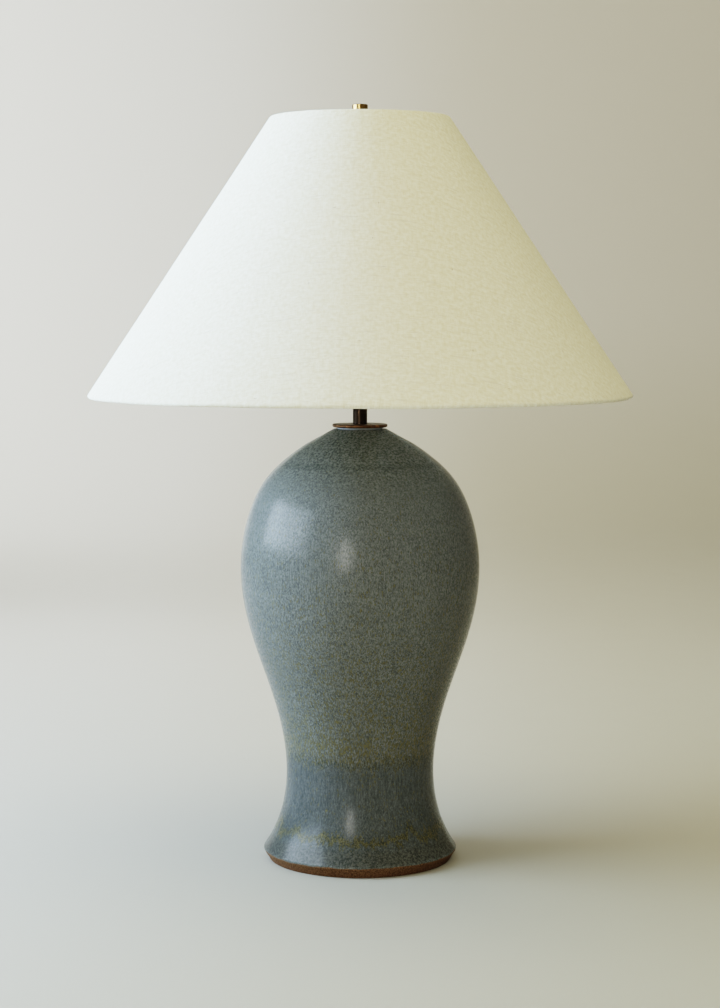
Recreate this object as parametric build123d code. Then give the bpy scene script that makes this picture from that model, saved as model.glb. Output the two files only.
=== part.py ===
from build123d import *
import os
from math import atan2, cos, hypot, pi, radians, sin, tan

# A pottery table lamp: a thrown stoneware vase, a neck with a turn-knob socket and a harp,
# and a wide linen shade that hangs from the harp's stud under a finial.
# Millimetres, +Z up. The origin is on the table, on the lamp's axis. The front is towards -Y,
# the harp's legs stand at +X and -X, and the cord leaves through the foot at the back, towards +Y.

# Fits
THREAD_GAP = 0.05        # round a screwed or running fit, on the radius
SEAT_GAP = 0.1           # between thin sheets and tubes that lie against each other
LOOSE_GAP = 0.3          # round a hole that a piece only drops into

# Stoneware vase: radius of each turn of its outline and its rise above the turn below
FOOT_REST_R = 93.8
FOOT_BEVEL_H = 10.5
FOOT_LIP_R = 100.5
FOOT_LIP_FILLET = 2.5
FOOT_FLARE_SLOPE = 0.72
WAIST_R = 76.3
WAIST_RISE = 75.5
FLANK_R = 87.8
FLANK_RISE = 76.0
UNDER_BELLY_R = 114.5
UNDER_BELLY_RISE = 81.0
BELLY_R = 122.8
BELLY_RISE = 68.0
CHEST_R = 111.5
CHEST_RISE = 55.0
SHOULDER_R = 88.2
SHOULDER_RISE = 38.0
COLLAR_R = 56.8
COLLAR_RISE = 25.0
NECK_R = 27.0
NECK_RISE = 16.6
NECK_SLOPE = 1.78
CLAY_WALL = 7.5
FOOT_RING_W = 15.8
RECESS_DEPTH = 24.0
RECESS_DRAFT = 4.0
RECESS_FILLET = 3.0
FLOOR_T = 10.0
CAVITY_STEPS = 12
PIPE_HOLE_GAP = 2.0

# Cord inlet through the back of the foot
INLET_Z = 12.5
INLET_BORE_R = 3.6
INLET_WALL = 1.8
INLET_BARREL = 15.0
INLET_FLANGE_W = 2.4
INLET_FLANGE_T = 2.2
INLET_SEAT_DEPTH = 6.8

# Threaded pipe and what clamps it under the floor
PIPE_R = 4.85
PIPE_WALL = 1.4
PIPE_TAIL = 3.0
RUBBER_R = 20.0
RUBBER_T = 3.0
WASHER_R = 18.0
WASHER_T = 2.0
LOCK_RING_R = 8.2
LOCK_RING_T = 1.6
LOCK_RING_SLIT = 1.2
LOCK_RING_SLANT = 30.0    # degrees
NUT_R = 10.0
NUT_T = 5.5

# Neck hardware
GASKET_R = 23.0
GASKET_T = 1.6
CAP_R = 28.4
CAP_T = 3.3
CAP_EDGE_R = 1.5
TUBE_R = 7.35
TUBE_H = 50.0

# Harp saddle, a bent strip with a peg on each ear
SADDLE_T = 1.6
SADDLE_W = 12.0
SADDLE_BEND_R = 4.0
LEG_X = 30.0
EAR_H = 12.0
PEG_H = 10.0
SADDLE_NUT_R = 9.0
SADDLE_NUT_T = 4.5

# Harp wire, ferrules and stud
WIRE_R = 2.0
LEG_H = 36.0
HIP_X = 57.0
HIP_RISE = 58.0
BROW_X = 50.0
BROW_RISE = 82.0
CROWN_X = 22.0
CROWN_RISE = 48.0
BEND_SHARE = 0.45         # of the shorter run that a bend takes up
PAD_R = 7.0
PAD_T = 2.8
FERRULE_H = 18.0
FERRULE_WALL = 2.1
FERRULE_BEAD = 0.7
FERRULE_BEAD_H = 2.4
RIVET_R = 2.4
RIVET_HEAD_R = 4.4
RIVET_HEAD_T = 1.4
STUD_FLANGE_R = 8.4
STUD_FLANGE_T = 2.0
STUD_SHOULDER_R = 5.2
STUD_SHOULDER_H = 1.5
STUD_R = 3.15
STUD_H = 14.0

# Socket
SOCKET_HUB_R = 8.0
SOCKET_HUB_H = 8.0
SCREW_SHELL_R = 13.9
SCREW_SHELL_T = 0.5
SCREW_SHELL_H = 24.0
SLEEVE_ROOM = 0.7
SLEEVE_T = 0.9
SHELL_T = 0.6
SHELL_BEAD_H = 1.6
SHELL_TUCK = 6.0
SHELL_LIP = 2.0
CAP_SHEET = 0.8
CAP_RIM_H = 7.0
SWITCH_SKIRT_H = 6.0
SWITCH_SKIRT_T = 2.4
SWITCH_BODY_H = 25.6
SPINDLE_UP = 9.0
SET_SCREW_R = 1.5
SET_SCREW_HEAD_R = 2.6
SET_SCREW_HEAD_T = 1.6
SCREW_SLOT_W = 0.8
TERMINAL_FLAT_X = 9.6
TERMINAL_UP = 6.5
TERMINAL_SHANK_R = 1.6
TERMINAL_SHANK_L = 4.0
TERMINAL_HEAD_R = 3.2
TERMINAL_HEAD_T = 1.8
CONTACT_HOLE_R = 7.5
CONTACT_W = 6.0
CONTACT_T = 0.7
CONTACT_RISE = 3.6
CONTACT_REACH = 6.0

# Switch key
SPINDLE_R = 2.0
SPINDLE_ROOT = 9.0
SPINDLE_HOLE_GAP = 1.2
KNOB_STANDOFF = 7.0
KNOB_HUB_R = 4.6
KNOB_HUB_L = 7.0
KNOB_PADDLE_W = 18.0
KNOB_PADDLE_T = 5.0
KNOB_PADDLE_L = 13.0
KNOB_BORE_L = 9.0
KNOB_ROUND = 1.2
KNOB_CORNER_R = 5.5

# Bulb
BULB_GAP = 0.2
BULB_CAP_H = 22.0
BULB_CAP_T = 0.5
TIP_R = 4.6
TIP_H = 1.8
INSULATOR_H = 3.6
INSULATOR_R = 11.0
GLASS_T = 0.8
GLASS_TUCK = 5.0
GLASS_NECK_H = 8.0
GLASS_R = 30.0
GLASS_BELLY_RISE = 46.0

# Shade: two wire rings, a spider, a stiff liner and the linen rolled round both rings
RING_WIRE_R = 1.6
TOP_RING_R = 89.5
BOTTOM_RING_R = 274.6
SHADE_RISE = 278.6
SPIDER_DROP = 6.6
SPIDER_HUB_R = 13.0
SPIDER_HUB_T = 1.8
SPIDER_LAP = 2.5
SPIDER_ARMS = 3
SPIDER_FIRST_ARM = 90.0   # degrees from +X
LINEN_T = 0.8
LINER_T = 0.6
LINER_STEP = 5.0
HEM_TAIL = 11.0

# Finial
FINIAL_R = 7.95
FINIAL_H = 20.8
FINIAL_EDGE = 0.6
FINIAL_GROOVE_W = 1.4
FINIAL_GROOVE_D = 0.6
FINIAL_GROOVE_UP = 4.0

# Heights and radii that follow, from the table up
waist_z = FOOT_BEVEL_H + WAIST_RISE
flank_z = waist_z + FLANK_RISE
under_belly_z = flank_z + UNDER_BELLY_RISE
belly_z = under_belly_z + BELLY_RISE
chest_z = belly_z + CHEST_RISE
shoulder_z = chest_z + SHOULDER_RISE
collar_z = shoulder_z + COLLAR_RISE
neck_z = collar_z + NECK_RISE
recess_r = FOOT_REST_R - FOOT_RING_W
inlet_r = INLET_BORE_R + INLET_WALL
inlet_flange_r = inlet_r + INLET_FLANGE_W
inlet_seat_y = FOOT_LIP_R - INLET_SEAT_DEPTH
pipe_clear_r = PIPE_R + THREAD_GAP
floor_under_z = RECESS_DEPTH
floor_top_z = floor_under_z + FLOOR_T
washer_top_z = floor_under_z - RUBBER_T
lock_ring_top_z = washer_top_z - WASHER_T
nut_top_z = lock_ring_top_z - LOCK_RING_T
nut_bottom_z = nut_top_z - NUT_T
pipe_bottom_z = nut_bottom_z - PIPE_TAIL
cap_bottom_z = neck_z + GASKET_T
tube_bottom_z = cap_bottom_z + CAP_T
saddle_z = tube_bottom_z + TUBE_H
saddle_top_z = saddle_z + SADDLE_T
socket_z = saddle_top_z + SADDLE_NUT_T
ear_top_z = saddle_top_z + EAR_H
peg_top_z = ear_top_z + PEG_H
crown_z = peg_top_z + LEG_H + HIP_RISE + BROW_RISE + CROWN_RISE
pad_z = crown_z - PAD_T / 2
pad_top_z = crown_z + PAD_T / 2
flange_top_z = pad_top_z + STUD_FLANGE_T
hub_top_z = flange_top_z + SPIDER_HUB_T
top_ring_z = hub_top_z - SPIDER_HUB_T / 2 + SPIDER_DROP
bottom_ring_z = top_ring_z - SHADE_RISE
hem_in_r = RING_WIRE_R + SEAT_GAP

# Socket radii, from the screw shell outwards, and socket heights
sleeve_in_r = SCREW_SHELL_R + SLEEVE_ROOM
sleeve_r = sleeve_in_r + SLEEVE_T
shell_in_r = sleeve_r + SEAT_GAP
shell_r = shell_in_r + SHELL_T
socket_cap_in_r = shell_r + SEAT_GAP
socket_cap_r = socket_cap_in_r + CAP_SHEET
switch_r = sleeve_in_r - LOOSE_GAP
bowl_r = socket_cap_r - SOCKET_HUB_R
bowl_z = socket_z + SOCKET_HUB_H
bowl_floor_z = bowl_z + CAP_SHEET
rim_z = bowl_z + bowl_r
socket_cap_top_z = rim_z + CAP_RIM_H
switch_z = bowl_floor_z + SWITCH_SKIRT_H
switch_top_z = switch_z + SWITCH_BODY_H
spindle_z = socket_cap_top_z + SPINDLE_UP
screw_shell_top_z = switch_top_z + SCREW_SHELL_H
shell_top_z = screw_shell_top_z + SHELL_LIP
pipe_top_z = bowl_z
set_screw_z = socket_z + SOCKET_HUB_H / 2
terminal_z = switch_z + TERMINAL_UP
knob_y = shell_r + KNOB_STANDOFF
spindle_end = switch_r - SPINDLE_ROOT
spindle_bore_r = SPINDLE_R + THREAD_GAP
spindle_hole_r = SPINDLE_R + SPINDLE_HOLE_GAP

# Bulb heights and radii
bulb_cap_r = SCREW_SHELL_R - SCREW_SHELL_T - BULB_GAP
contact_top_z = switch_top_z + CONTACT_RISE + CONTACT_T
tip_z = contact_top_z + BULB_GAP
insulator_z = tip_z + TIP_H
bulb_cap_z = insulator_z + INSULATOR_H
bulb_cap_top_z = bulb_cap_z + BULB_CAP_H
glass_neck_r = bulb_cap_r - BULB_CAP_T - SEAT_GAP


def on_xz(face):
    """Lay an outline drawn as (radius, height) on the XZ plane."""
    return Plane.XZ * face


def turned(*lines):
    """Revolve a closed outline of (radius, height) lines about the lamp's axis."""
    return revolve(on_xz(make_face(lines)), Axis.Z)


def turned_polygon(*points):
    """Revolve a straight-sided outline of (radius, height) points about the lamp's axis."""
    return turned(Polyline(*points, close=True))


def post(radius, bottom_z, top_z):
    """A plain cylinder on the lamp's axis."""
    return Pos(Z=bottom_z) * extrude(Circle(radius), top_z - bottom_z)


def tube(outer_r, inner_r, bottom_z, top_z):
    """A flat-ended ring or tube on the lamp's axis."""
    return Pos(Z=bottom_z) * extrude(Circle(outer_r) - Circle(inner_r), top_z - bottom_z)


def hex_nut(corner_r, bore_r, bottom_z, top_z):
    """A six-sided nut on the lamp's axis, its corners turned off by a chamfer cone."""
    blank = Pos(Z=bottom_z) * extrude(RegularPolygon(corner_r, 6) - Circle(bore_r), top_z - bottom_z)
    flat_r = corner_r * cos(pi / 6)
    drop = (corner_r - flat_r) * tan(pi / 6)
    turned_off = turned_polygon(
        (0, bottom_z), (flat_r, bottom_z), (corner_r, bottom_z + drop),
        (corner_r, top_z - drop), (flat_r, top_z), (0, top_z))
    return blank & turned_off


def rod_y(radius, y_from, y_to, z):
    """A round bar that runs along Y through the lamp's axis."""
    start = Plane((0, y_from, z), x_dir=(1, 0, 0), z_dir=(0, 1, 0))
    return extrude(start * Circle(radius), y_to - y_from)


def rod_x(radius, x_from, x_to, z):
    """A round bar that runs along X through the lamp's axis."""
    start = Plane((x_from, 0, z), x_dir=(0, 1, 0), z_dir=(1, 0, 0))
    return extrude(start * Circle(radius), x_to - x_from)


def vase_outline():
    """The thrown curve from the lip of the foot up to the neck."""
    return Spline(
        (FOOT_LIP_R, FOOT_BEVEL_H),
        (WAIST_R, waist_z),
        (FLANK_R, flank_z),
        (UNDER_BELLY_R, under_belly_z),
        (BELLY_R, belly_z),
        (CHEST_R, chest_z),
        (SHOULDER_R, shoulder_z),
        (COLLAR_R, collar_z),
        (NECK_R, neck_z),
        tangents=[(-FOOT_FLARE_SLOPE, 1), (-NECK_SLOPE, 1)],
    )


def vase_cavity(outline):
    """The hollow inside the vase, one clay wall in from its outline, above the floor."""
    wall_points = []
    for step in range(CAVITY_STEPS + 1):
        point = outline.position_at(step / CAVITY_STEPS)
        heading = outline.tangent_at(step / CAVITY_STEPS)
        wall_points.append((point.X - CLAY_WALL * heading.Y, point.Y + CLAY_WALL * heading.X))
    inner = Spline(*wall_points)
    bottom = inner @ 0
    top = inner @ 1
    rest = Polyline((top.X, top.Y), (0, top.Y), (0, bottom.Y), (bottom.X, bottom.Y))
    return split(turned(inner, rest), bisect_by=Plane.XY.offset(floor_top_z), keep=Keep.TOP)


def ceramic_body():
    """Thrown vase with a bevelled foot ring, a raised floor, pipe holes and a drilled cord inlet."""
    outline = vase_outline()
    base = Polyline((NECK_R, neck_z), (0, neck_z), (0, 0), (FOOT_REST_R, 0), (FOOT_LIP_R, FOOT_BEVEL_H))
    body = turned(outline, base)
    lip = body.edges().filter_by(GeomType.CIRCLE).filter_by_position(
        Axis.Z, FOOT_BEVEL_H - SEAT_GAP, FOOT_BEVEL_H + SEAT_GAP)
    body = fillet(lip, FOOT_LIP_FILLET)
    recess = turned_polygon(
        (0, 0), (recess_r, 0), (recess_r - RECESS_DRAFT, floor_under_z), (0, floor_under_z))
    recess = fillet(recess.edges().group_by(Axis.Z)[-1], RECESS_FILLET)
    pipe_hole = post(PIPE_R + PIPE_HOLE_GAP, floor_under_z, neck_z)
    inlet_hole = rod_y(inlet_r + SEAT_GAP, 0, FOOT_LIP_R, INLET_Z)
    inlet_seat = rod_y(inlet_flange_r + LOOSE_GAP, inlet_seat_y, FOOT_LIP_R, INLET_Z)
    return body - recess - vase_cavity(outline) - pipe_hole - inlet_hole - inlet_seat


def cord_bushing():
    """Flanged sleeve that lines the drilled inlet in the foot."""
    barrel = rod_y(inlet_r, inlet_seat_y - INLET_BARREL, inlet_seat_y, INLET_Z)
    flange = rod_y(inlet_flange_r, inlet_seat_y, inlet_seat_y + INLET_FLANGE_T, INLET_Z)
    flange = fillet(flange.edges().group_by(Axis.Y)[-1], INLET_FLANGE_T / 3)
    bore = rod_y(INLET_BORE_R, inlet_seat_y - INLET_BARREL, inlet_seat_y + INLET_FLANGE_T, INLET_Z)
    return barrel + flange - bore


def lock_ring():
    """Split spring washer above the nut."""
    whole = tube(LOCK_RING_R, pipe_clear_r, nut_top_z, lock_ring_top_z)
    middle = Pos(LOCK_RING_R, 0, nut_top_z + LOCK_RING_T / 2)
    slit = middle * Rot(X=LOCK_RING_SLANT) * Box(2 * LOCK_RING_R, LOCK_RING_SLIT, 3 * LOCK_RING_T)
    return whole - slit


def vase_cap():
    """Round cap over the neck, with a rolled edge."""
    disc = tube(CAP_R, pipe_clear_r, cap_bottom_z, tube_bottom_z)
    rim = disc.edges().filter_by(GeomType.CIRCLE).group_by(SortBy.RADIUS)[-1]
    return fillet(rim, CAP_EDGE_R)


def harp_saddle():
    """Strip bent up at both ends, each ear drawn to a round peg."""
    half_t = SADDLE_T / 2
    path = FilletPolyline(
        (-LEG_X, ear_top_z), (-LEG_X, saddle_z + half_t), (LEG_X, saddle_z + half_t), (LEG_X, ear_top_z),
        radius=SADDLE_BEND_R)
    strip = extrude(on_xz(trace(path, SADDLE_T)), SADDLE_W / 2, both=True)
    for side in (-1, 1):
        strip += Pos(X=side * LEG_X) * post(WIRE_R, ear_top_z - EAR_H / 2, peg_top_z)
    return strip - post(pipe_clear_r, saddle_z, saddle_top_z)


def harp_path():
    """Half of the harp's wire runs from a leg over the crown, mirrored to the other leg."""
    hip_z = peg_top_z + LEG_H + HIP_RISE
    brow_z = hip_z + BROW_RISE
    right = [
        (LEG_X, peg_top_z), (LEG_X, peg_top_z + LEG_H), (HIP_X, hip_z), (BROW_X, brow_z), (CROWN_X, crown_z)]
    return right + [(-x, z) for x, z in reversed(right)]


def bend_radius(before, corner, after):
    """The largest bend that leaves each straight run a tenth of its length."""
    run_in = (corner[0] - before[0], corner[1] - before[1])
    run_out = (after[0] - corner[0], after[1] - corner[1])
    cross = run_in[0] * run_out[1] - run_in[1] * run_out[0]
    dot = run_in[0] * run_out[0] + run_in[1] * run_out[1]
    turn = abs(atan2(cross, dot))
    return BEND_SHARE * min(hypot(*run_in), hypot(*run_out)) / tan(turn / 2)


def harp_wire():
    """Sprung wire loop, flattened and punched at the crown for the stud."""
    points = harp_path()
    bends = [bend_radius(*points[i - 1:i + 2]) for i in range(1, len(points) - 1)]
    path = on_xz(FilletPolyline(*points, radius=bends))
    section = Plane((LEG_X, 0, peg_top_z)) * Circle(WIRE_R)
    pad = post(PAD_R, pad_z, pad_top_z)
    flat_r = STUD_FLANGE_R + LOOSE_GAP
    above = post(flat_r, pad_top_z, pad_top_z + WIRE_R)
    below = post(flat_r, pad_z - WIRE_R, pad_z)
    hole = post(RIVET_R + THREAD_GAP, pad_z, pad_top_z)
    return sweep(section, path) - above - below + pad - hole


def harp_stud():
    """Riveted stud: head under the crown, flange that carries the shade, shoulder and thread."""
    shoulder_top = flange_top_z + STUD_SHOULDER_H
    return (
        post(RIVET_HEAD_R, pad_z - RIVET_HEAD_T, pad_z)
        + post(RIVET_R, pad_z, pad_top_z)
        + post(STUD_FLANGE_R, pad_top_z, flange_top_z)
        + post(STUD_SHOULDER_R, flange_top_z, shoulder_top)
        + post(STUD_R, shoulder_top, hub_top_z + STUD_H)
    )


def ferrule(side):
    """Sliding sleeve with a bead at each end, over the peg and the foot of a harp leg."""
    bore_r = WIRE_R + THREAD_GAP
    waist_r = bore_r + FERRULE_WALL
    bead_r = waist_r + FERRULE_BEAD
    top_z = ear_top_z + FERRULE_H
    sleeve = turned_polygon(
        (bore_r, ear_top_z), (bead_r, ear_top_z), (bead_r, ear_top_z + FERRULE_BEAD_H),
        (waist_r, ear_top_z + FERRULE_BEAD_H + FERRULE_BEAD), (waist_r, top_z - FERRULE_BEAD_H - FERRULE_BEAD),
        (bead_r, top_z - FERRULE_BEAD_H), (bead_r, top_z), (bore_r, top_z))
    return Pos(X=side * LEG_X) * sleeve


def socket_cap():
    """Spun bowl with a threaded hub, open at the top to take the shell."""
    centre = (SOCKET_HUB_R, rim_z)
    outer = CenterArc(centre, bowl_r, -90, 90)
    inner = CenterArc(centre, bowl_r - CAP_SHEET, -90, 90)
    rim = Polyline(
        (socket_cap_r, rim_z), (socket_cap_r, socket_cap_top_z),
        (socket_cap_in_r, socket_cap_top_z), (socket_cap_in_r, rim_z))
    hub = Polyline(
        (SOCKET_HUB_R, bowl_floor_z), (pipe_clear_r, bowl_floor_z), (pipe_clear_r, socket_z),
        (SOCKET_HUB_R, socket_z), (SOCKET_HUB_R, bowl_z))
    hole = rod_y(SET_SCREW_R + THREAD_GAP, 0, SOCKET_HUB_R, set_screw_z)
    return turned(outer, rim, inner, hub) - hole


def set_screw():
    """Slotted screw through the back of the socket's hub, bearing on the pipe."""
    tip_y = PIPE_R + THREAD_GAP
    head_y = SOCKET_HUB_R + SEAT_GAP
    screw = rod_y(SET_SCREW_R, tip_y, head_y, set_screw_z)
    screw += rod_y(SET_SCREW_HEAD_R, head_y, head_y + SET_SCREW_HEAD_T, set_screw_z)
    slot = Pos(0, head_y + SET_SCREW_HEAD_T, set_screw_z) * Box(
        SCREW_SLOT_W, SET_SCREW_HEAD_T, SET_SCREW_HEAD_R * 2)
    return screw - slot


def socket_shell():
    """Spun brass shell with a bead that rests on the cap and a hole for the spindle."""
    tuck_z = socket_cap_top_z - SHELL_TUCK
    bead_z = socket_cap_top_z + SHELL_BEAD_H
    shell = turned_polygon(
        (shell_in_r, tuck_z), (shell_r, tuck_z), (shell_r, socket_cap_top_z), (socket_cap_r, socket_cap_top_z),
        (socket_cap_r, bead_z), (shell_r, bead_z), (shell_r, shell_top_z), (shell_in_r, shell_top_z))
    return shell - rod_y(spindle_hole_r, -socket_cap_r, 0, spindle_z)


def insulating_sleeve():
    """Paper tube between the shell and the live parts."""
    sleeve = tube(sleeve_r, sleeve_in_r, socket_cap_top_z - SHELL_TUCK, screw_shell_top_z)
    return sleeve - rod_y(spindle_hole_r, -socket_cap_r, 0, spindle_z)


def switch_body():
    """Moulded switch block on a skirt, with a flat for each terminal and a bore for the spindle."""
    block = post(switch_r, switch_z, switch_top_z)
    skirt = tube(SOCKET_HUB_R, SOCKET_HUB_R - SWITCH_SKIRT_T, bowl_floor_z, switch_z)
    for side in (-1, 1):
        notch_x = side * (TERMINAL_FLAT_X + switch_r / 2)
        block -= Pos(notch_x, 0, terminal_z) * Box(switch_r, 2 * switch_r, 2 * (TERMINAL_HEAD_R + LOOSE_GAP))
        block -= rod_x(TERMINAL_SHANK_R + THREAD_GAP, *terminal_shank(side), terminal_z)
    return block + skirt - rod_y(spindle_bore_r, -switch_r, LOOSE_GAP - spindle_end, spindle_z)


def terminal_shank(side):
    """Where a terminal screw's shank starts and ends along X."""
    inner_x = TERMINAL_FLAT_X - TERMINAL_SHANK_L
    return (inner_x, TERMINAL_FLAT_X) if side > 0 else (-TERMINAL_FLAT_X, -inner_x)


def terminal_screw(side):
    """Round-headed wire screw on a flat of the switch block."""
    screw = rod_x(TERMINAL_SHANK_R, *terminal_shank(side), terminal_z)
    head_x = TERMINAL_FLAT_X + TERMINAL_HEAD_T
    edges = (TERMINAL_FLAT_X, head_x) if side > 0 else (-head_x, -TERMINAL_FLAT_X)
    head = rod_x(TERMINAL_HEAD_R, *edges, terminal_z)
    slot = Pos(side * head_x, 0, terminal_z) * Box(
        TERMINAL_HEAD_T, SCREW_SLOT_W, TERMINAL_HEAD_R * 2)
    return screw + head - slot


def screw_shell():
    """Thin lamp-holder shell with a floor, open round the centre contact."""
    floor = tube(SCREW_SHELL_R, CONTACT_HOLE_R, switch_top_z, switch_top_z + SCREW_SHELL_T)
    wall = tube(SCREW_SHELL_R, SCREW_SHELL_R - SCREW_SHELL_T, switch_top_z, screw_shell_top_z)
    return floor + wall


def centre_contact():
    """Sprung brass strip, fixed at one end and bowed up under the bulb's tip."""
    half_t = CONTACT_T / 2
    low_z = switch_top_z + half_t
    high_z = contact_top_z - half_t
    path = Polyline(
        (-CONTACT_REACH, low_z), (-CONTACT_REACH / 3, low_z), (CONTACT_REACH / 3, high_z), (CONTACT_REACH, high_z))
    return extrude(on_xz(trace(path, CONTACT_T)), CONTACT_W / 2, both=True)


def switch_spindle():
    """Shaft from the switch out to its key."""
    return rod_y(SPINDLE_R, -knob_y - KNOB_BORE_L, -spindle_end, spindle_z)


def switch_knob():
    """Moulded key: a round hub with a flat paddle for two fingers."""
    hub = rod_y(KNOB_HUB_R, -knob_y - KNOB_HUB_L, -knob_y, spindle_z)
    outline = RectangleRounded(KNOB_PADDLE_W, KNOB_PADDLE_L, KNOB_CORNER_R)
    paddle_y = -knob_y - KNOB_HUB_L - KNOB_PADDLE_L / 2 + KNOB_ROUND
    paddle = Pos(0, paddle_y, spindle_z) * extrude(outline, KNOB_PADDLE_T / 2, both=True)
    paddle = fillet(paddle.edges().filter_by(Axis.Z, reverse=True), KNOB_ROUND)
    bore = rod_y(SPINDLE_R + THREAD_GAP, -knob_y - KNOB_BORE_L, -knob_y, spindle_z)
    return hub + paddle - bore


def bulb_tip():
    """Solder button at the bottom of the bulb."""
    button = post(TIP_R, tip_z, insulator_z)
    return fillet(button.edges().group_by(Axis.Z)[0], TIP_H / 2)


def bulb_insulator():
    """Glass cone between the tip and the bulb's cap."""
    return turned_polygon((0, insulator_z), (TIP_R, insulator_z), (INSULATOR_R, bulb_cap_z), (0, bulb_cap_z))


def bulb_cap():
    """Thin metal cap that screws into the shell."""
    wall = tube(bulb_cap_r, bulb_cap_r - BULB_CAP_T, bulb_cap_z, bulb_cap_top_z)
    floor = tube(bulb_cap_r, TIP_R, bulb_cap_z, bulb_cap_z + BULB_CAP_T)
    return wall + floor


def bulb_glass():
    """Hollow pear of opal glass with its neck in the cap."""
    neck_z_bottom = bulb_cap_top_z - GLASS_TUCK
    neck_top = bulb_cap_top_z + GLASS_NECK_H
    belly = neck_top + GLASS_BELLY_RISE
    outlines = []
    for inset in (0, GLASS_T):
        neck_r = glass_neck_r - inset
        ball_r = GLASS_R - inset
        outlines.append((
            Line((neck_r, neck_z_bottom), (neck_r, neck_top)),
            Spline((neck_r, neck_top), (ball_r, belly), tangents=[(0, 1), (0, 1)]),
            CenterArc((0, belly), ball_r, 0, 90),
        ))
    solids = []
    for neck, flare, dome in outlines:
        top = dome @ 1
        start = neck @ 0
        axis = Polyline((top.X, top.Y), (0, neck_z_bottom), (start.X, start.Y))
        solids.append(turned(neck, flare, dome, axis))
    return solids[0] - solids[1]


def spider_arm(number, radius):
    """A straight arm from the edge of the spider's hub up to the middle of the top ring's wire."""
    turn = radians(SPIDER_FIRST_ARM) + 2 * pi * number / SPIDER_ARMS
    outward = Vector(cos(turn), sin(turn), 0)
    start = outward * (SPIDER_HUB_R - SPIDER_LAP) + Vector(0, 0, hub_top_z - SPIDER_HUB_T / 2)
    end = outward * TOP_RING_R + Vector(0, 0, top_ring_z)
    return extrude(Plane(start, z_dir=end - start) * Circle(radius), (end - start).length)


def spider_frame():
    """Top ring of the shade with its hub and arms, welded into one frame."""
    frame = Pos(Z=top_ring_z) * Torus(TOP_RING_R, RING_WIRE_R)
    frame += tube(SPIDER_HUB_R, STUD_SHOULDER_R + THREAD_GAP, flange_top_z, hub_top_z)
    for number in range(SPIDER_ARMS):
        frame += spider_arm(number, RING_WIRE_R)
    return frame


def bottom_ring():
    """Wire ring in the shade's lower hem."""
    return Pos(Z=bottom_ring_z) * Torus(BOTTOM_RING_R, RING_WIRE_R)


def shade_point(ring_share, out, along=0.0):
    """A point of the shade's section: between the rings, out from their line and along it."""
    slope = Vector(TOP_RING_R - BOTTOM_RING_R, SHADE_RISE)
    run = slope.normalized()
    outward = Vector(run.Y, -run.X)
    point = Vector(BOTTOM_RING_R, bottom_ring_z) + slope * ring_share + outward * out + run * along
    return (point.X, point.Y)


def hem(ring_share, side):
    """The roll of linen round one ring: an arc outside, one inside and the tail glued to the liner."""
    skin = hem_in_r + LINEN_T
    glue_line = hem_in_r - LINER_T - 2 * SEAT_GAP
    outer = ThreePointArc(
        shade_point(ring_share, skin), shade_point(ring_share, 0, side * skin), shade_point(ring_share, -skin))
    inner = ThreePointArc(
        shade_point(ring_share, hem_in_r), shade_point(ring_share, 0, side * hem_in_r),
        shade_point(ring_share, -hem_in_r))
    tail = Polyline(
        shade_point(ring_share, -skin),
        shade_point(ring_share, -skin, -side * hem_in_r),
        shade_point(ring_share, glue_line - LINEN_T, -side * HEM_TAIL),
        shade_point(ring_share, glue_line, -side * HEM_TAIL),
        shade_point(ring_share, -hem_in_r, -side * hem_in_r),
        shade_point(ring_share, -hem_in_r))
    return outer, tail, inner


def shade_linen():
    """Linen cone rolled round both rings, its upper hem notched where the spider's arms pass."""
    outside = Line(shade_point(0, hem_in_r + LINEN_T), shade_point(1, hem_in_r + LINEN_T))
    inside = Line(shade_point(0, hem_in_r), shade_point(1, hem_in_r))
    linen = turned(outside, *hem(1, 1), inside, *hem(0, -1))
    for number in range(SPIDER_ARMS):
        linen -= spider_arm(number, hem_in_r)
    return linen


def shade_liner():
    """Stiff translucent sheet behind the linen, between the two rings."""
    outer = hem_in_r - SEAT_GAP
    inner = outer - LINER_T
    return turned_polygon(
        shade_point(0, outer, LINER_STEP), shade_point(1, outer, -LINER_STEP),
        shade_point(1, inner, -LINER_STEP), shade_point(0, inner, LINER_STEP))


def finial():
    """Turned cylinder with a groove near its foot, screwed on the stud."""
    top_z = hub_top_z + FINIAL_H
    groove_z = hub_top_z + FINIAL_GROOVE_UP
    groove_r = FINIAL_R - FINIAL_GROOVE_D
    edge = FINIAL_R - FINIAL_EDGE
    knob = turned_polygon(
        (0, hub_top_z), (FINIAL_R, hub_top_z), (FINIAL_R, groove_z), (groove_r, groove_z),
        (groove_r, groove_z + FINIAL_GROOVE_W), (FINIAL_R, groove_z + FINIAL_GROOVE_W),
        (FINIAL_R, top_z - FINIAL_EDGE), (edge, top_z), (0, top_z))
    return knob - post(STUD_R + THREAD_GAP, hub_top_z, hub_top_z + STUD_H + LOOSE_GAP)


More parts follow.
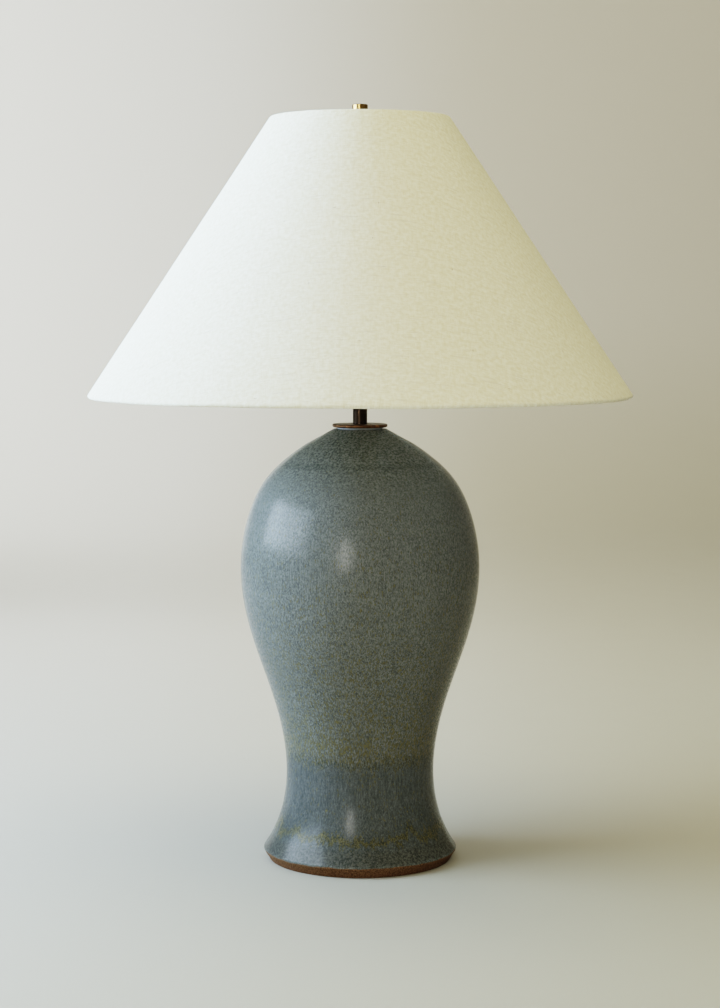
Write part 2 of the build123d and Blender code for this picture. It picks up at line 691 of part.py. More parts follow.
pieces = {
    "ceramic_body": ceramic_body(),
    "cord_bushing": cord_bushing(),
    "lamp_pipe": tube(PIPE_R, PIPE_R - PIPE_WALL, pipe_bottom_z, pipe_top_z),
    "rubber_washer": tube(RUBBER_R, pipe_clear_r, washer_top_z, floor_under_z),
    "base_washer": tube(WASHER_R, pipe_clear_r, lock_ring_top_z, washer_top_z),
    "lock_ring": lock_ring(),
    "base_nut": hex_nut(NUT_R, pipe_clear_r, nut_bottom_z, nut_top_z),
    "neck_gasket": tube(GASKET_R, pipe_clear_r, neck_z, cap_bottom_z),
    "vase_cap": vase_cap(),
    "neck_tube": tube(TUBE_R, PIPE_R + LOOSE_GAP, tube_bottom_z, saddle_z),
    "harp_saddle": harp_saddle(),
    "saddle_nut": hex_nut(SADDLE_NUT_R, pipe_clear_r, saddle_top_z, socket_z),
    "socket_cap": socket_cap(),
    "socket_set_screw": set_screw(),
    "socket_shell": socket_shell(),
    "insulating_sleeve": insulating_sleeve(),
    "switch_body": switch_body(),
    "terminal_screw_hot": terminal_screw(1),
    "terminal_screw_neutral": terminal_screw(-1),
    "screw_shell": screw_shell(),
    "centre_contact": centre_contact(),
    "switch_spindle": switch_spindle(),
    "switch_knob": switch_knob(),
    "bulb_tip": bulb_tip(),
    "bulb_insulator": bulb_insulator(),
    "bulb_cap": bulb_cap(),
    "bulb_glass": bulb_glass(),
    "harp_wire": harp_wire(),
    "harp_stud": harp_stud(),
    "ferrule_right": ferrule(1),
    "ferrule_left": ferrule(-1),
    "spider_frame": spider_frame(),
    "bottom_ring": bottom_ring(),
    "shade_linen": shade_linen(),
    "shade_liner": shade_liner(),
    "finial": finial(),
}

os.makedirs("parts", exist_ok=True)
for name, solid in pieces.items():
    export_step(solid, f"parts/{name}.step")
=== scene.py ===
import bmesh
import bpy
from math import atan2, cos, hypot, pi, prod, radians, sin
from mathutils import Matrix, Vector


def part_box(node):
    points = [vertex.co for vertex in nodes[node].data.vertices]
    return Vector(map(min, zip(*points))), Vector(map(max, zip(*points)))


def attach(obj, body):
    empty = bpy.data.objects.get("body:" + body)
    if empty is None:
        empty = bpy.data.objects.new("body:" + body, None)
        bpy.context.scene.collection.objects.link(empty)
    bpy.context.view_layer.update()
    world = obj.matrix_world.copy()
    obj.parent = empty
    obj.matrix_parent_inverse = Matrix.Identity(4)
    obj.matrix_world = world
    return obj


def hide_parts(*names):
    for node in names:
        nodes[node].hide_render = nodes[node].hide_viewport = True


# A pottery table lamp on a pale studio floor: glazed stoneware, bronze neck, linen cone shade.
# Lengths are in metres. The lamp's axis is Z, the floor is at 0 and the camera looks along +Y.

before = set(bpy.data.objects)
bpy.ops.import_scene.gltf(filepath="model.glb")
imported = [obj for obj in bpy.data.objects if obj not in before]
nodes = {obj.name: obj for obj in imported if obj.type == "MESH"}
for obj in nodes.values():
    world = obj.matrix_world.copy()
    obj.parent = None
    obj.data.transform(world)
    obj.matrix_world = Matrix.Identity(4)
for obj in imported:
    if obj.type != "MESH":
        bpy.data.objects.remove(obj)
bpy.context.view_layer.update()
scene = bpy.context.scene
scene.view_settings.view_transform = "Filmic"
scene.view_settings.look = "High Contrast"


# Shader sums

CLOTH_MAP = "cloth"
SOCKET_NAMES = {
    "base_color": "Base Color", "roughness": "Roughness", "metallic": "Metallic", "normal": "Normal",
    "sheen": "Sheen Weight", "sheen_roughness": "Sheen Roughness", "specular": "Specular IOR Level",
    "ior": "IOR",
}

# Places of a colour mix's inputs and of its result
MIX_SHARE = 0
MIX_FIRST = 6
MIX_SECOND = 7
MIX_RESULT = 2


class Term:
    """An output of a material's nodes that takes part in sums as a number does."""

    def __init__(self, finish, socket):
        self.finish = finish
        self.socket = socket

    def math(self, operation, *values):
        return self.finish.node("ShaderNodeMath", values, operation=operation)

    def __add__(self, other):
        return self.math("ADD", self, other)

    __radd__ = __add__

    def __sub__(self, other):
        return self.math("SUBTRACT", self, other)

    def __rsub__(self, other):
        return self.math("SUBTRACT", other, self)

    def __mul__(self, other):
        return self.math("MULTIPLY", self, other)

    def sine(self):
        return self.math("SINE", self)

    def above(self, low, high):
        """0 under low, 1 over high and a smooth step between them."""
        return self.finish.node(
            "ShaderNodeMapRange", {"Value": self, "From Min": low, "From Max": high},
            interpolation_type="SMOOTHSTEP")

    def below(self, low, high):
        """1 under low, 0 over high and a smooth step between them."""
        return 1.0 - self.above(low, high)

    def band(self, low, high, soft):
        """1 between two limits, fading to 0 outside them."""
        return self.above(low - soft, low + soft) * self.below(high - soft, high + soft)


class Finish:
    """A procedural material with one main shader, painted from object or cloth coordinates."""

    def __init__(self, name, **constants):
        self.material = bpy.data.materials.new(name)
        self.material.use_nodes = True
        self.tree = self.material.node_tree
        self.shader = self.tree.nodes["Principled BSDF"]
        self.feed(**constants)

    def connect(self, value, socket):
        """Link a term to an input, or set the input to a constant."""
        if isinstance(value, Term):
            self.tree.links.new(value.socket, socket)
        else:
            socket.default_value = value

    def node(self, kind, values=(), output=0, **settings):
        """Add any node, set it up and feed its inputs with terms or constants."""
        made = self.tree.nodes.new(kind)
        for key, setting in settings.items():
            setattr(made, key, setting)
        items = values.items() if isinstance(values, dict) else enumerate(values)
        for key, value in items:
            self.connect(value, made.inputs[key])
        return Term(self, made.outputs[output])

    def feed(self, **inputs):
        """Set the main shader's inputs, such as base_color or roughness."""
        for key, value in inputs.items():
            self.connect(value, self.shader.inputs[SOCKET_NAMES[key]])

    def place(self):
        """Object coordinates in the lamp's frame."""
        return self.node("ShaderNodeTexCoord", output="Object")

    def cloth(self):
        """Coordinates on the flat cut of the cloth."""
        return self.node("ShaderNodeUVMap", uv_map=CLOTH_MAP)

    def part(self, vector, axis):
        """One number of a vector."""
        return self.node("ShaderNodeSeparateXYZ", [vector], output=axis)

    def stretch(self, vector, x, y, z=1.0, shift=0.0):
        """A vector with each axis scaled, and moved to another part of a texture."""
        return self.node(
            "ShaderNodeMapping", {"Vector": vector, "Scale": (x, y, z), "Location": (shift, shift, shift)})

    def noise(self, vector, detail=2.0, roughness=0.5):
        return self.node("ShaderNodeTexNoise", {
            "Vector": vector, "Scale": 1.0, "Detail": detail, "Roughness": roughness})

    def cells(self, vector, output="Distance"):
        return self.node("ShaderNodeTexVoronoi", {"Vector": vector, "Scale": 1.0}, output=output)

    def mix(self, share, first, second):
        """The first colour where share is 0 and the second where it is 1."""
        return self.node(
            "ShaderNodeMix", {MIX_SHARE: share, MIX_FIRST: first, MIX_SECOND: second},
            output=MIX_RESULT, data_type="RGBA")

    def bump(self, height, depth):
        """Raise the surface by height times depth."""
        relief = self.node(
            "ShaderNodeBump", {"Height": height, "Distance": depth, "Strength": 1.0}, output="Normal")
        self.feed(normal=relief)


def rgb(red, green, blue):
    """An opaque colour in linear light."""
    return (red, green, blue, 1.0)


# The shade's cone, read from the ring parts in model.glb

low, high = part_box("bottom_ring")
wire_r = (high.z - low.z) / 2
bottom_r = high.x - wire_r
bottom_z = low.z + wire_r
low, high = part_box("spider_frame")
top_r = high.x - wire_r
top_z = high.z - wire_r
slope = Vector((top_r - bottom_r, top_z - bottom_z))
run = slope.normalized()
outward = Vector((run.y, -run.x))
slant = hypot(*slope)
apex_z = bottom_z + (top_z - bottom_z) * bottom_r / (bottom_r - top_r)
cone_turn = (bottom_r - top_r) / slant

# Sizes of the linen: its inner face and its glue line are measured out from the line of the rings
HEM_ROOM = 0.0001
LINER_ROOM = 0.0008
HEM_IN = wire_r + HEM_ROOM
GLUE_LINE = HEM_IN - LINER_ROOM
LINEN_T = 0.0008
HEM_TAIL = 0.011
TAIL_BEND = 0.6

# Sizes of the lapped seam
SEAM_T = 0.0005
SEAM_LIFT = 0.00045
SEAM_HALF = 0.0055
GRID_HALF = 0.5

# Wander of the hand-made linen: waves as lobes round the axis, share and phase, and their sizes
WANDER_WAVES = ((3, 0.45, 0.7), (7, 0.3, 2.1), (13, 0.25, 4.0))
WANDER_OUT = 0.0005
WANDER_UP = 0.0006

# Ripple of the hand-made linen: waves as lobes round the axis, lean and phase, and its size
RIPPLE_WAVES = ((29, 9, 0.0), (17, -5, 1.0))
RIPPLE_OUT = 0.00012

# Steps of the linen's meshes
SHADE_STEPS = 288
SLOPE_STEPS = 48
ROLL_STEPS = 8
SEAM_STEPS_ACROSS = 4
SEAM_STEPS_ALONG = 60


# Mesh helpers

def finish_mesh(bm, name, finish):
    """Turn a bmesh into a smooth object at the origin with one material."""
    bmesh.ops.recalc_face_normals(bm, faces=bm.faces)
    mesh = bpy.data.meshes.new(name)
    for face in bm.faces:
        face.smooth = True
    bm.to_mesh(mesh)
    bm.free()
    mesh.materials.append(finish.material)
    piece = bpy.data.objects.new(name, mesh)
    scene.collection.objects.link(piece)
    return piece


def turn_section(section, steps, closed):
    """A bmesh of a section's points (radius, height), turned once round the lamp's axis."""
    bm = bmesh.new()
    line = [bm.verts.new((radius, 0, height)) for radius, height in section]
    following = line[1:] + line[:1] if closed else line[1:]
    for first, second in zip(line, following):
        bm.edges.new((first, second))
    bmesh.ops.spin(
        bm, geom=list(bm.verts) + list(bm.edges), cent=(0, 0, 0), axis=(0, 0, 1), angle=2 * pi,
        steps=steps, use_merge=True)
    return bm


def shade_point(ring_share, out, along=0.0):
    """A point (radius, height) of the shade's section, out from the line of the rings and along it."""
    return Vector((bottom_r, bottom_z)) + slope * ring_share + outward * out + run * along


def roll(ring_share, side, radius):
    """Points of the linen's turn round one ring, from the outside to the inside."""
    angles = [pi * step / ROLL_STEPS for step in range(1, ROLL_STEPS)]
    return [shade_point(ring_share, radius * cos(turn), side * radius * sin(turn)) for turn in angles]


def hem(ring_share, side):
    """The linen's roll and its glued tail, from the outer skin round to the inner skin."""
    skin = HEM_IN + LINEN_T
    points = roll(ring_share, side, skin)
    points.append(shade_point(ring_share, -skin, -side * HEM_IN))
    points.append(shade_point(ring_share, (GLUE_LINE - LINEN_T - skin) / 2, -side * HEM_TAIL * TAIL_BEND))
    points.append(shade_point(ring_share, GLUE_LINE - LINEN_T, -side * HEM_TAIL))
    points.append(shade_point(ring_share, GLUE_LINE, -side * HEM_TAIL))
    points.append(shade_point(ring_share, (GLUE_LINE - HEM_IN) / 2, -side * HEM_TAIL * TAIL_BEND))
    points.append(shade_point(ring_share, -HEM_IN, -side * HEM_IN))
    return points + roll(ring_share, side, HEM_IN)[::-1]


def cloth_place(point, near_turn):
    """Where a point of the shade lies on the flat cut, with the grain upright at the front."""
    turn = atan2(point.x, -point.y)
    turn += 2 * pi * round((near_turn - turn) / (2 * pi))
    reach = hypot(hypot(point.x, point.y), apex_z - point.z)
    return (reach * sin(turn * cone_turn), -reach * cos(turn * cone_turn))


def lay_cloth(bm):
    """Give each corner of a shade mesh its place on the flat cut."""
    layer = bm.loops.layers.uv.new(CLOTH_MAP)
    for face in bm.faces:
        middle = face.calc_center_median()
        turn = atan2(middle.x, -middle.y)
        for loop in face.loops:
            loop[layer].uv = cloth_place(loop.vert.co, turn)


def hand_made(point):
    """A small wander of the linen, most at the lower edge: it is rolled and glued by hand."""
    turn = atan2(point.y, point.x)
    share = (top_z - point.z) / (top_z - bottom_z)
    wave = sum(size * sin(lobes * turn + phase) for lobes, size, phase in WANDER_WAVES)
    ripple = prod(sin(lobes * turn + lean * share + phase) for lobes, lean, phase in RIPPLE_WAVES)
    reach = hypot(point.x, point.y)
    swell = (WANDER_OUT * wave * share + RIPPLE_OUT * ripple) / reach
    rise = WANDER_UP * wave * share ** 4
    return Vector((point.x * (1 + swell), point.y * (1 + swell), point.z + rise))


def make_linen_cover(finish):
    """The linen cone with both edges rolled round the wire rings, one closed thin cloth."""
    skin = HEM_IN + LINEN_T
    shares = [step / SLOPE_STEPS for step in range(SLOPE_STEPS + 1)]
    section = [shade_point(share, skin) for share in shares]
    section += hem(1, 1)
    section += [shade_point(share, HEM_IN) for share in shares[::-1]]
    section += hem(0, -1)[::-1]
    bm = turn_section(section, SHADE_STEPS, closed=True)
    for vert in bm.verts:
        vert.co = hand_made(vert.co)
    lay_cloth(bm)
    return finish_mesh(bm, "linen_cover", finish)


def make_linen_seam(finish):
    """The lapped end of the linen, glued down the back of the shade from rim to rim."""
    bm = bmesh.new()
    bmesh.ops.create_grid(bm, x_segments=SEAM_STEPS_ACROSS, y_segments=SEAM_STEPS_ALONG, size=GRID_HALF)
    for vert in bm.verts:
        across = vert.co.x
        share = vert.co.y + GRID_HALF
        lift = HEM_IN + LINEN_T + SEAM_LIFT * (1 - (2 * across) ** 4)
        point = shade_point(share, lift)
        turn = pi / 2 + SEAM_HALF * 2 * across / point.x
        vert.co = hand_made(Vector((point.x * cos(turn), point.x * sin(turn), point.y)))
    bmesh.ops.solidify(bm, geom=bm.faces[:], thickness=SEAM_T)
    lay_cloth(bm)
    return finish_mesh(bm, "linen_seam", finish)


# Materials: noise scales are per metre, and a noise's middle is 0.5

WEAVE_PITCH = 0.0014
THREAD_PITCH = 0.00094

# Cells that hold the linen's flecks: shift, then scale across and up
FLECK_GRIDS = ((3.0, 42, 190), (29.0, 170, 60))

# Depths of relief
LINEN_RELIEF = 0.00012
GLAZE_RELIEF = 0.00012
METAL_RELIEF = 0.00002
THREAD_RELIEF = 0.00025

# Heights of the glaze's zones on the vase, from the foot up
CLAY_LINE = (0.0102, 0.0112)
PALE_EDGE = (0.0112, 0.0130)
RIM_LINE = (0.022, 0.030)
FOOT_FLARE = (0.02, 0.06)
FOOT_PAINTED_SHADE = (0.03, 0.06)
DRIP_BAND = (0.0305, 0.0375)
FOOT_LINE = (0.097, 0.117)
BREAK_LINE = (0.106, 0.117)
BREAK_BAND = (0.106, 0.142)
LOWER_BODY = (0.12, 0.40)
CROWN = (0.36, 0.44)
SHOULDER = (0.37, 0.42)
NECK_RING = (0.4085, 0.4135)


def make_linen():
    """Undyed linen in plain weave: uneven threads both ways, slubs and a few brown flecks."""
    finish = Finish("linen", sheen=0.2, sheen_roughness=0.6, specular=0.2)
    cloth = finish.cloth()
    warp = finish.noise(finish.stretch(cloth, 900, 110), detail=1)
    weft = finish.noise(finish.stretch(cloth, 110, 900, shift=7), detail=1)
    grain = finish.noise(finish.stretch(cloth, 250, 260, shift=23), detail=2)
    slub_warp = finish.noise(finish.stretch(cloth, 480, 60, shift=13), detail=1).above(0.66, 0.80)
    slub_weft = finish.noise(finish.stretch(cloth, 36, 480, shift=19), detail=1).above(0.60, 0.76)
    tone = warp * 0.2 + weft * 0.3 + grain * 0.5
    base = finish.mix(tone.above(0.3, 0.7), rgb(0.765, 0.705, 0.51), rgb(0.935, 0.91, 0.775))
    base = finish.mix(slub_weft * 0.45, base, rgb(0.66, 0.60, 0.48))
    base = finish.mix(slub_warp * 0.20, base, rgb(0.68, 0.63, 0.52))
    for shift, wide, tall in FLECK_GRIDS:
        grid = finish.stretch(cloth, wide, tall, shift=shift)
        chosen = finish.part(finish.cells(grid, "Color"), "X").above(0.90, 0.93)
        fleck = finish.cells(grid).below(0.03, 0.12) * chosen
        base = finish.mix(fleck * 0.6, base, rgb(0.32, 0.22, 0.12))
    finish.feed(base_color=base, roughness=0.92 - tone * 0.1)
    over = (finish.part(cloth, "X") * (2 * pi / WEAVE_PITCH)).sine()
    under = (finish.part(cloth, "Y") * (2 * pi / WEAVE_PITCH)).sine()
    relief = warp + weft + over * under * 0.5 + slub_warp * 0.7 + slub_weft * 0.7
    finish.bump(relief, LINEN_RELIEF)
    return finish


def make_glaze():
    """Reactive glaze on a brown clay: slate speckle, ochre where it breaks, bare clay at the foot, painted
    shade low down, at the crown and by the floor.
    """
    finish = Finish("glazed_stoneware", specular=0.09, ior=1.5)
    place = finish.place()
    height = finish.part(place, "Z")

    # Upright streaks, speckle, thrown rings and broad clouds
    streak = finish.noise(finish.stretch(place, 210, 210, 14), detail=3, roughness=0.6)
    thread = finish.noise(finish.stretch(place, 1400, 1400, 90, shift=9), detail=1)
    wide_streak = finish.noise(finish.stretch(place, 46, 46, 6, shift=4), detail=2)
    speck = finish.noise(finish.stretch(place, 1300, 1300, 560, shift=1), detail=2, roughness=0.7)
    grain = finish.part(finish.cells(finish.stretch(place, 1250, 1250, 640, shift=8), "Color"), "X")
    fleck = finish.noise(finish.stretch(place, 740, 740, 240, shift=11), detail=1)
    grit = finish.noise(finish.stretch(place, 430, 430, 430, shift=17), detail=2, roughness=0.8)
    cloud = finish.noise(finish.stretch(place, 16, 16, 12, shift=2), detail=3)
    rings = finish.noise(finish.stretch(place, 0.5, 0.5, 150, shift=5), detail=3, roughness=0.7)

    # Zones by height, some with wavering limits
    line = height + ((streak - 0.5) * 0.026 + (wide_streak - 0.5) * 0.012)
    foot_zone = line.below(*FOOT_LINE)
    break_band = line.band(*BREAK_BAND, soft=0.016)
    crown = height.above(*CROWN)
    lower = height.below(*LOWER_BODY)
    flame = wide_streak.above(0.45, 0.72) * 0.020 + (streak - 0.5) * 0.034
    drip_band = (height - flame).band(*DRIP_BAND, soft=0.004)

    # Speckle, with a coarser grit where the surface slants
    mottle = speck * 0.25 + grain * 0.25 + thread * 0.34 + rings * 0.10 + wide_streak * 0.06
    slanted = height.above(*SHOULDER) + height.below(*FOOT_FLARE)
    mottle = mottle + (grit * 1.5 - 0.25 - mottle) * slanted * 0.8
    dark_share = mottle.above(0.30, 0.70)

    # Teal body, darker lower down and yellower at the crown: partly the glaze's own tones, partly painted
    # shade where less window light reaches the lower body and where the lampshade shades the crown
    teal = finish.mix(dark_share, rgb(0.188, 0.194, 0.188), rgb(0.080, 0.087, 0.087))
    shaded_drab = finish.mix(dark_share, rgb(0.184, 0.190, 0.182), rgb(0.041, 0.047, 0.048))
    teal = finish.mix(lower * 0.8, teal, shaded_drab)
    teal = finish.mix(cloud.above(0.3, 0.7) * 0.15, teal, rgb(0.112, 0.121, 0.120))
    shaded_olive = finish.mix(dark_share, rgb(0.158, 0.160, 0.138), rgb(0.036, 0.039, 0.033))
    colour = finish.mix(crown * 0.75, teal, shaded_olive)

    # Streaked slate foot
    slate_share = (streak * 0.25 + thread * 0.75).above(0.34, 0.66)
    slate = finish.mix(slate_share, rgb(0.045, 0.051, 0.055), rgb(0.138, 0.149, 0.152))
    slate = finish.mix(dark_share * 0.55, slate, rgb(0.034, 0.038, 0.038))
    colour = finish.mix(foot_zone * 0.85, colour, slate)

    # Ochre flecks, the dark break line above the foot and the dark drips at its flare
    ochre = finish.mix(grain, rgb(0.043, 0.038, 0.018), rgb(0.172, 0.150, 0.064))
    ochre_limit = 0.665 - lower * 0.13 - break_band * 0.05 - drip_band * 0.32 + foot_zone * 0.11
    ochre_share = (fleck - ochre_limit).above(0.0, 0.05)
    colour = finish.mix(ochre_share * 0.75, colour, ochre)
    break_line = line.band(*BREAK_LINE, soft=0.006) * (thread * 0.5 + speck * 0.5).above(0.44, 0.60)
    colour = finish.mix(break_line * 0.7, colour, rgb(0.030, 0.033, 0.028))
    colour = finish.mix(drip_band * grit.above(0.50, 0.58) * 0.75, colour, rgb(0.026, 0.028, 0.024))
    # Painted shade: the bottom of the vase darkened towards the floor
    colour = finish.mix(height.below(*FOOT_PAINTED_SHADE) * 0.12, colour, rgb(0.040, 0.040, 0.032))

    # Dark rim under the drips, with a pale edge over the clay
    rim_height = height + (streak - 0.5) * 0.008
    rim = finish.mix(dark_share, rgb(0.112, 0.111, 0.099), rgb(0.032, 0.034, 0.032))
    colour = finish.mix(rim_height.below(*RIM_LINE) * 0.7, colour, rim)
    pale_edge = rim_height.below(*PALE_EDGE) * speck.above(0.46, 0.62)
    colour = finish.mix(pale_edge * 0.45, colour, rgb(0.23, 0.28, 0.28))

    # Thrown ring below the neck
    ring_mark = height.band(*NECK_RING, soft=0.002) * rings.above(0.2, 0.7)
    colour = finish.mix(ring_mark * streak * 0.5, colour, rgb(0.045, 0.05, 0.045))

    # Bare clay with grog
    ragged = finish.noise(finish.stretch(place, 60, 60, 60, shift=6), detail=3)
    clay_share = (height + (ragged - 0.5) * 0.0035).below(*CLAY_LINE)
    grog = finish.noise(finish.stretch(place, 700, 700, 700, shift=14), detail=3, roughness=0.7)
    clay = finish.mix(grog.above(0.35, 0.68), rgb(0.060, 0.031, 0.016), rgb(0.190, 0.105, 0.057))
    colour = finish.mix(clay_share, colour, clay)

    gloss = 0.16 + dark_share * 0.06 + ochre_share * 0.10 + clay_share * 0.5
    finish.feed(base_color=colour, roughness=gloss)
    relief = speck * 0.35 + thread * 0.2 + rings * 0.8 + cloud * 1.2 + clay_share * grog * 1.5
    finish.bump(relief, GLAZE_RELIEF)
    return finish


def make_metal(name, dull, bright, rough, wear):
    """Aged metal: a darker skin worn through to brighter metal in small patches and fine lines."""
    finish = Finish(name, metallic=1.0)
    place = finish.place()
    patch = finish.noise(finish.stretch(place, 160, 160, 160), detail=4, roughness=0.65)
    turned = finish.noise(finish.stretch(place, 30, 30, 2200, shift=3), detail=2)
    share = (patch * 0.7 + turned * 0.3).above(0.62 - wear * 0.3, 0.72 - wear * 0.15)
    finish.feed(
        base_color=finish.mix(share, dull, bright),
        roughness=rough + patch * 0.18 - turned * 0.06)
    finish.bump(turned + patch * 0.5, METAL_RELIEF)
    return finish


def make_threaded_steel():
    """Zinc-plated pipe with a fine thread all along it."""
    finish = Finish("threaded_steel", metallic=1.0)
    place = finish.place()
    thread = (finish.part(place, "Z") * (2 * pi / THREAD_PITCH)).sine()
    patch = finish.noise(finish.stretch(place, 220, 220, 90), detail=3)
    finish.feed(
        base_color=finish.mix(patch.above(0.35, 0.7), rgb(0.33, 0.33, 0.32), rgb(0.56, 0.56, 0.54)),
        roughness=0.32 + patch * 0.2)
    finish.bump(thread, THREAD_RELIEF)
    return finish


def make_matt(name, first, second, rough, scale, depth):
    """A moulded, rubber, paper, glass or coated surface with a fine grain."""
    finish = Finish(name)
    place = finish.place()
    grain = finish.noise(finish.stretch(place, scale, scale, scale), detail=4, roughness=0.6)
    cloud = finish.noise(finish.stretch(place, scale / 9, scale / 9, scale / 9, shift=5), detail=2)
    finish.feed(
        base_color=finish.mix((grain * 0.5 + cloud * 0.5).above(0.3, 0.7), first, second),
        roughness=rough + grain * 0.12)
    finish.bump(grain, depth)
    return finish


linen = make_linen()
glaze = make_glaze()
bronze = make_metal(
    "aged_bronze", rgb(0.043, 0.031, 0.023), rgb(0.125, 0.080, 0.048), rough=0.26, wear=0.3)
worn_bronze = make_metal(
    "worn_bronze", rgb(0.13, 0.070, 0.038), rgb(0.40, 0.21, 0.105), rough=0.32, wear=0.45)
brass = make_metal("aged_brass", rgb(0.33, 0.212, 0.083), rgb(0.46, 0.31, 0.125), rough=0.20, wear=0.5)
steel = make_metal("zinc_steel", rgb(0.34, 0.34, 0.33), rgb(0.58, 0.58, 0.56), rough=0.30, wear=0.7)
threaded_steel = make_threaded_steel()
solder = make_metal("solder", rgb(0.45, 0.45, 0.44), rgb(0.66, 0.66, 0.64), rough=0.34, wear=0.6)
aluminium = make_metal("aluminium", rgb(0.58, 0.58, 0.58), rgb(0.78, 0.78, 0.77), rough=0.26, wear=0.8)
coated_wire = make_matt(
    "white_coated_wire", rgb(0.66, 0.65, 0.62), rgb(0.80, 0.79, 0.76), rough=0.34, scale=500,
    depth=0.00003)
rubber = make_matt(
    "rubber", rgb(0.012, 0.012, 0.012), rgb(0.030, 0.030, 0.029), rough=0.62, scale=900, depth=0.00005)
gasket = make_matt(
    "gasket", rgb(0.34, 0.36, 0.37), rgb(0.46, 0.48, 0.49), rough=0.70, scale=900, depth=0.00004)
nylon = make_matt(
    "nylon", rgb(0.014, 0.014, 0.015), rgb(0.028, 0.028, 0.030), rough=0.40, scale=700, depth=0.00003)
paper = make_matt(
    "insulating_paper", rgb(0.30, 0.22, 0.13), rgb(0.43, 0.33, 0.21), rough=0.75, scale=800,
    depth=0.00004)
phenolic = make_matt(
    "phenolic", rgb(0.016, 0.012, 0.010), rgb(0.034, 0.027, 0.022), rough=0.26, scale=450,
    depth=0.00002)
opal = make_matt(
    "opal_glass", rgb(0.80, 0.80, 0.78), rgb(0.88, 0.88, 0.86), rough=0.16, scale=300, depth=0.00001)
black_glass = make_matt(
    "black_glass", rgb(0.008, 0.008, 0.010), rgb(0.020, 0.020, 0.022), rough=0.10, scale=300,
    depth=0.00001)
styrene = make_matt(
    "styrene", rgb(0.80, 0.79, 0.74), rgb(0.88, 0.87, 0.83), rough=0.42, scale=350, depth=0.00002)

NODE_FINISHES = {
    glaze: ["ceramic_body"],
    bronze: ["neck_tube", "harp_saddle", "harp_wire", "harp_stud", "ferrule_right", "ferrule_left"],
    worn_bronze: ["vase_cap"],
    brass: ["finial", "socket_cap", "socket_shell", "screw_shell", "centre_contact", "saddle_nut",
            "switch_spindle", "terminal_screw_hot"],
    steel: ["base_washer", "lock_ring", "base_nut", "socket_set_screw", "terminal_screw_neutral"],
    threaded_steel: ["lamp_pipe"],
    solder: ["bulb_tip"],
    aluminium: ["bulb_cap"],
    coated_wire: ["spider_frame", "bottom_ring"],
    rubber: ["rubber_washer"],
    gasket: ["neck_gasket"],
    nylon: ["cord_bushing"],
    paper: ["insulating_sleeve"],
    phenolic: ["switch_body", "switch_knob"],
    opal: ["bulb_glass"],
    black_glass: ["bulb_insulator"],
    styrene: ["shade_liner"],
    linen: ["shade_linen"],
}
for finish, names in NODE_FINISHES.items():
    for name in names:
        slots = nodes[name].data.materials
        slots.clear()
        slots.append(finish.material)

# Soft pieces

cover = make_linen_cover(linen)
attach(cover, "shade")
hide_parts("shade_linen")
seam = make_linen_seam(linen)
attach(seam, "shade")

# Camera: level with the shade's lower half, looking slightly down

CAMERA_PLACE = (0.0, -2.252, 0.56745)
LOOK_DOWN = 0.08839
LENS_MM = 78.47
SENSOR_MM = 36.0

camera = bpy.data.objects.new("camera", bpy.data.cameras.new("camera"))
camera.location = CAMERA_PLACE
camera.rotation_euler = (pi / 2 - LOOK_DOWN, 0.0, 0.0)
camera.data.lens = LENS_MM
camera.data.sensor_width = SENSOR_MM
scene.collection.objects.link(camera)
scene.camera = camera

# Studio: a pale floor that curves up into a wall all round, a cool window at the left, a warm room

FLOOR_R = 3.3
COVE_R = 2.0
WALL_TOP = 5.0
COVE_STEPS = 16
STAGE_STEPS = 96
MERGE_DISTANCE = 0.0001


def make_paint():
    """Pale studio paint, darker and warmer to the right as painted shade, and darker far back at the left.
    """
    finish = Finish("studio_paint")
    place = finish.place()
    across = finish.part(place, "X")
    back = finish.part(place, "Y")
    height = finish.part(place, "Z")
    grain = finish.noise(finish.stretch(place, 12, 12, 12), detail=3)
    # Painted shade: the right side darker and warmer, the floor there darker than the wall
    shaded_right = finish.mix(height.above(0.02, 0.6), rgb(0.345, 0.318, 0.245), rgb(0.385, 0.358, 0.300))
    paint = finish.mix(across.above(-0.6, 0.5), rgb(0.46, 0.455, 0.435), shaded_right)
    dark_wall = across.below(-2.1, -1.3) * height.above(0.2, 0.8) * back.above(1.5, 3.0)
    finish.feed(
        base_color=finish.mix(dark_wall * 0.7, paint, rgb(0.16, 0.16, 0.16)),
        roughness=0.85 + grain * 0.1)
    return finish


def make_stage(finish):
    """A round floor with a wide cove and a wall."""
    section = [(0.0, 0.0), (1.0, 0.0), (2.0, 0.0)]
    for step in range(COVE_STEPS + 1):
        turn = pi / 2 * step / COVE_STEPS
        section.append((FLOOR_R + COVE_R * sin(turn), COVE_R * (1 - cos(turn))))
    section.append((FLOOR_R + COVE_R, WALL_TOP))
    bm = turn_section(section, STAGE_STEPS, closed=False)
    bmesh.ops.remove_doubles(bm, verts=bm.verts, dist=MERGE_DISTANCE)
    return finish_mesh(bm, "studio_floor", finish)


def make_group(name, members, state):
    """A group that lets a light reach its members alone, or all but its members."""
    group = bpy.data.collections.new(name)
    for member in members:
        group.objects.link(member)
    for entry in group.collection_objects:
        entry.light_linking.link_state = state
    return group


def add_light(
        name, place, target, size, power, colour, group=None,
        spread=180, lights=True, mirrored=True, shadow=True):
    """A rectangular light turned to a target, for all pieces or a group, to light, be mirrored or both."""
    light = bpy.data.lights.new(name, "AREA")
    light.shape = "RECTANGLE"
    light.size = size[0]
    light.size_y = size[1]
    light.energy = power
    light.color = colour
    light.spread = radians(spread)
    light.use_shadow = shadow
    lamp = bpy.data.objects.new(name, light)
    lamp.location = place
    lamp.rotation_euler = (Vector(target) - Vector(place)).to_track_quat("-Z", "Y").to_euler()
    lamp.light_linking.receiver_collection = group
    lamp.visible_camera = False
    lamp.visible_diffuse = lights
    lamp.visible_glossy = mirrored
    scene.collection.objects.link(lamp)


